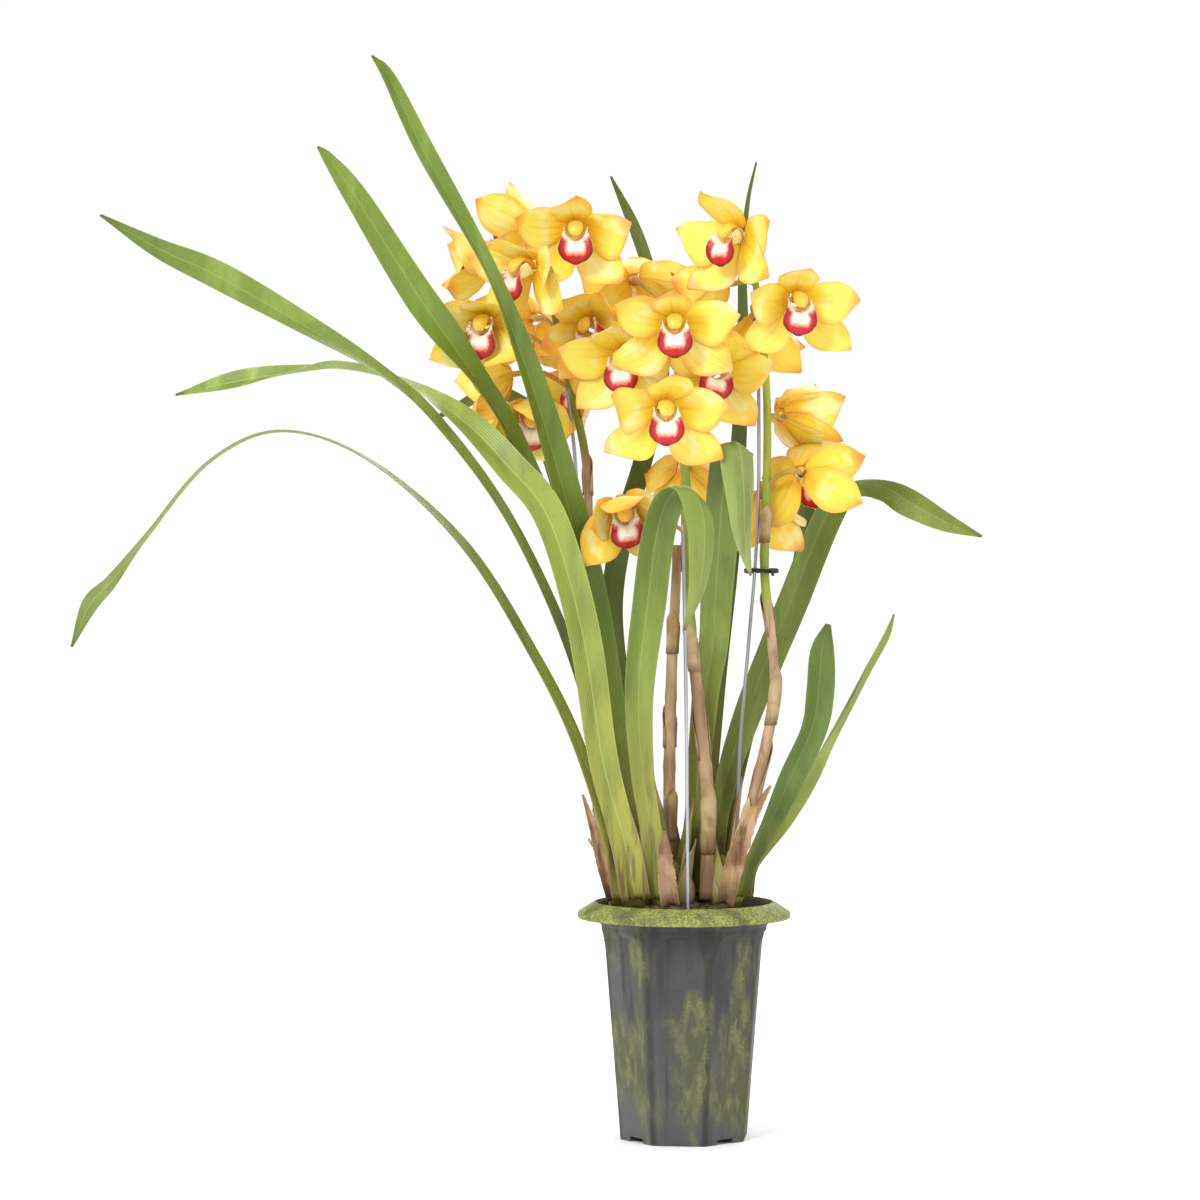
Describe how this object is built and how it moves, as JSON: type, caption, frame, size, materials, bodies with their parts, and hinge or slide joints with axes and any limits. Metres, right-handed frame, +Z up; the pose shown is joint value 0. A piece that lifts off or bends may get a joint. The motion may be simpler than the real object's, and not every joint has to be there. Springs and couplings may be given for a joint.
{
  "type": "potted orchid",
  "caption": "Cymbidium orchid in flower, with long arching strap leaves and upright flower spikes, growing in a tall tapered nursery pot.",
  "frame": {"origin": "middle of the pot's flat underside, on the surface that it stands on", "axes": "+Z up; -Y towards the plant's best side, so +X is to the right of someone facing it"},
  "size_m": [0.7596, 0.3263, 0.8999],
  "materials": {
    "pot": "matt moulded plastic, weathered, with a thin green film of algae on the rim and panels",
    "potting_mix": "damp chipped bark",
    "pseudobulb": "smooth living skin under leaf bases",
    "leaf": "satin living leaf",
    "dry_sheath": "dry, papery and fibrous",
    "flower_spike": "satin living stem with papery bracts",
    "old_stem": "dry and dull",
    "flower": "waxy petal",
    "wire": "dull drawn wire",
    "tie": "black plastic-covered tie"
  },
  "bodies": {
    "root": {"dry_sheath_center": "dry_sheath", "dry_sheath_left": "dry_sheath", "dry_sheath_right": "dry_sheath", "flower_center_1": "flower", "flower_center_2": "flower", "flower_center_3": "flower", "flower_center_4": "flower", "flower_center_5": "flower", "flower_center_6": "flower", "flower_center_7": "flower", "flower_center_8": "flower", "flower_center_9": "flower", "flower_left_1": "flower", "flower_left_2": "flower", "flower_left_3": "flower", "flower_left_4": "flower", "flower_left_5": "flower", "flower_left_6": "flower", "flower_left_7": "flower", "flower_left_8": "flower", "flower_right_1": "flower", "flower_right_2": "flower", "flower_right_3": "flower", "flower_right_4": "flower", "flower_right_5": "flower", "flower_right_6": "flower", "flower_right_7": "flower", "flower_spike_center": "flower_spike", "flower_spike_left": "flower_spike", "flower_spike_right": "flower_spike", "leaf_back_left": "leaf", "leaf_blade_right": "leaf", "leaf_broad_left": "leaf", "leaf_center_back": "leaf", "leaf_folded_center": "leaf", "leaf_folded_right": "leaf", "leaf_hanging_right": "leaf", "leaf_lance_left": "leaf", "leaf_long_left": "leaf", "leaf_needle_back": "leaf", "leaf_short_right": "leaf", "leaf_strap_right": "leaf", "leaf_tall_left": "leaf", "leaf_thin_left": "leaf", "old_flower_stem": "old_stem", "pot": "pot", "potting_mix": "potting_mix", "pseudobulb_back": "pseudobulb", "pseudobulb_center": "pseudobulb", "pseudobulb_left": "pseudobulb", "pseudobulb_old": "pseudobulb", "pseudobulb_right": "pseudobulb", "support_wire_center": "wire", "support_wire_left": "wire", "support_wire_right": "wire", "twist_tie_left": "tie", "twist_tie_right": "tie"}
  },
  "joints": []
}
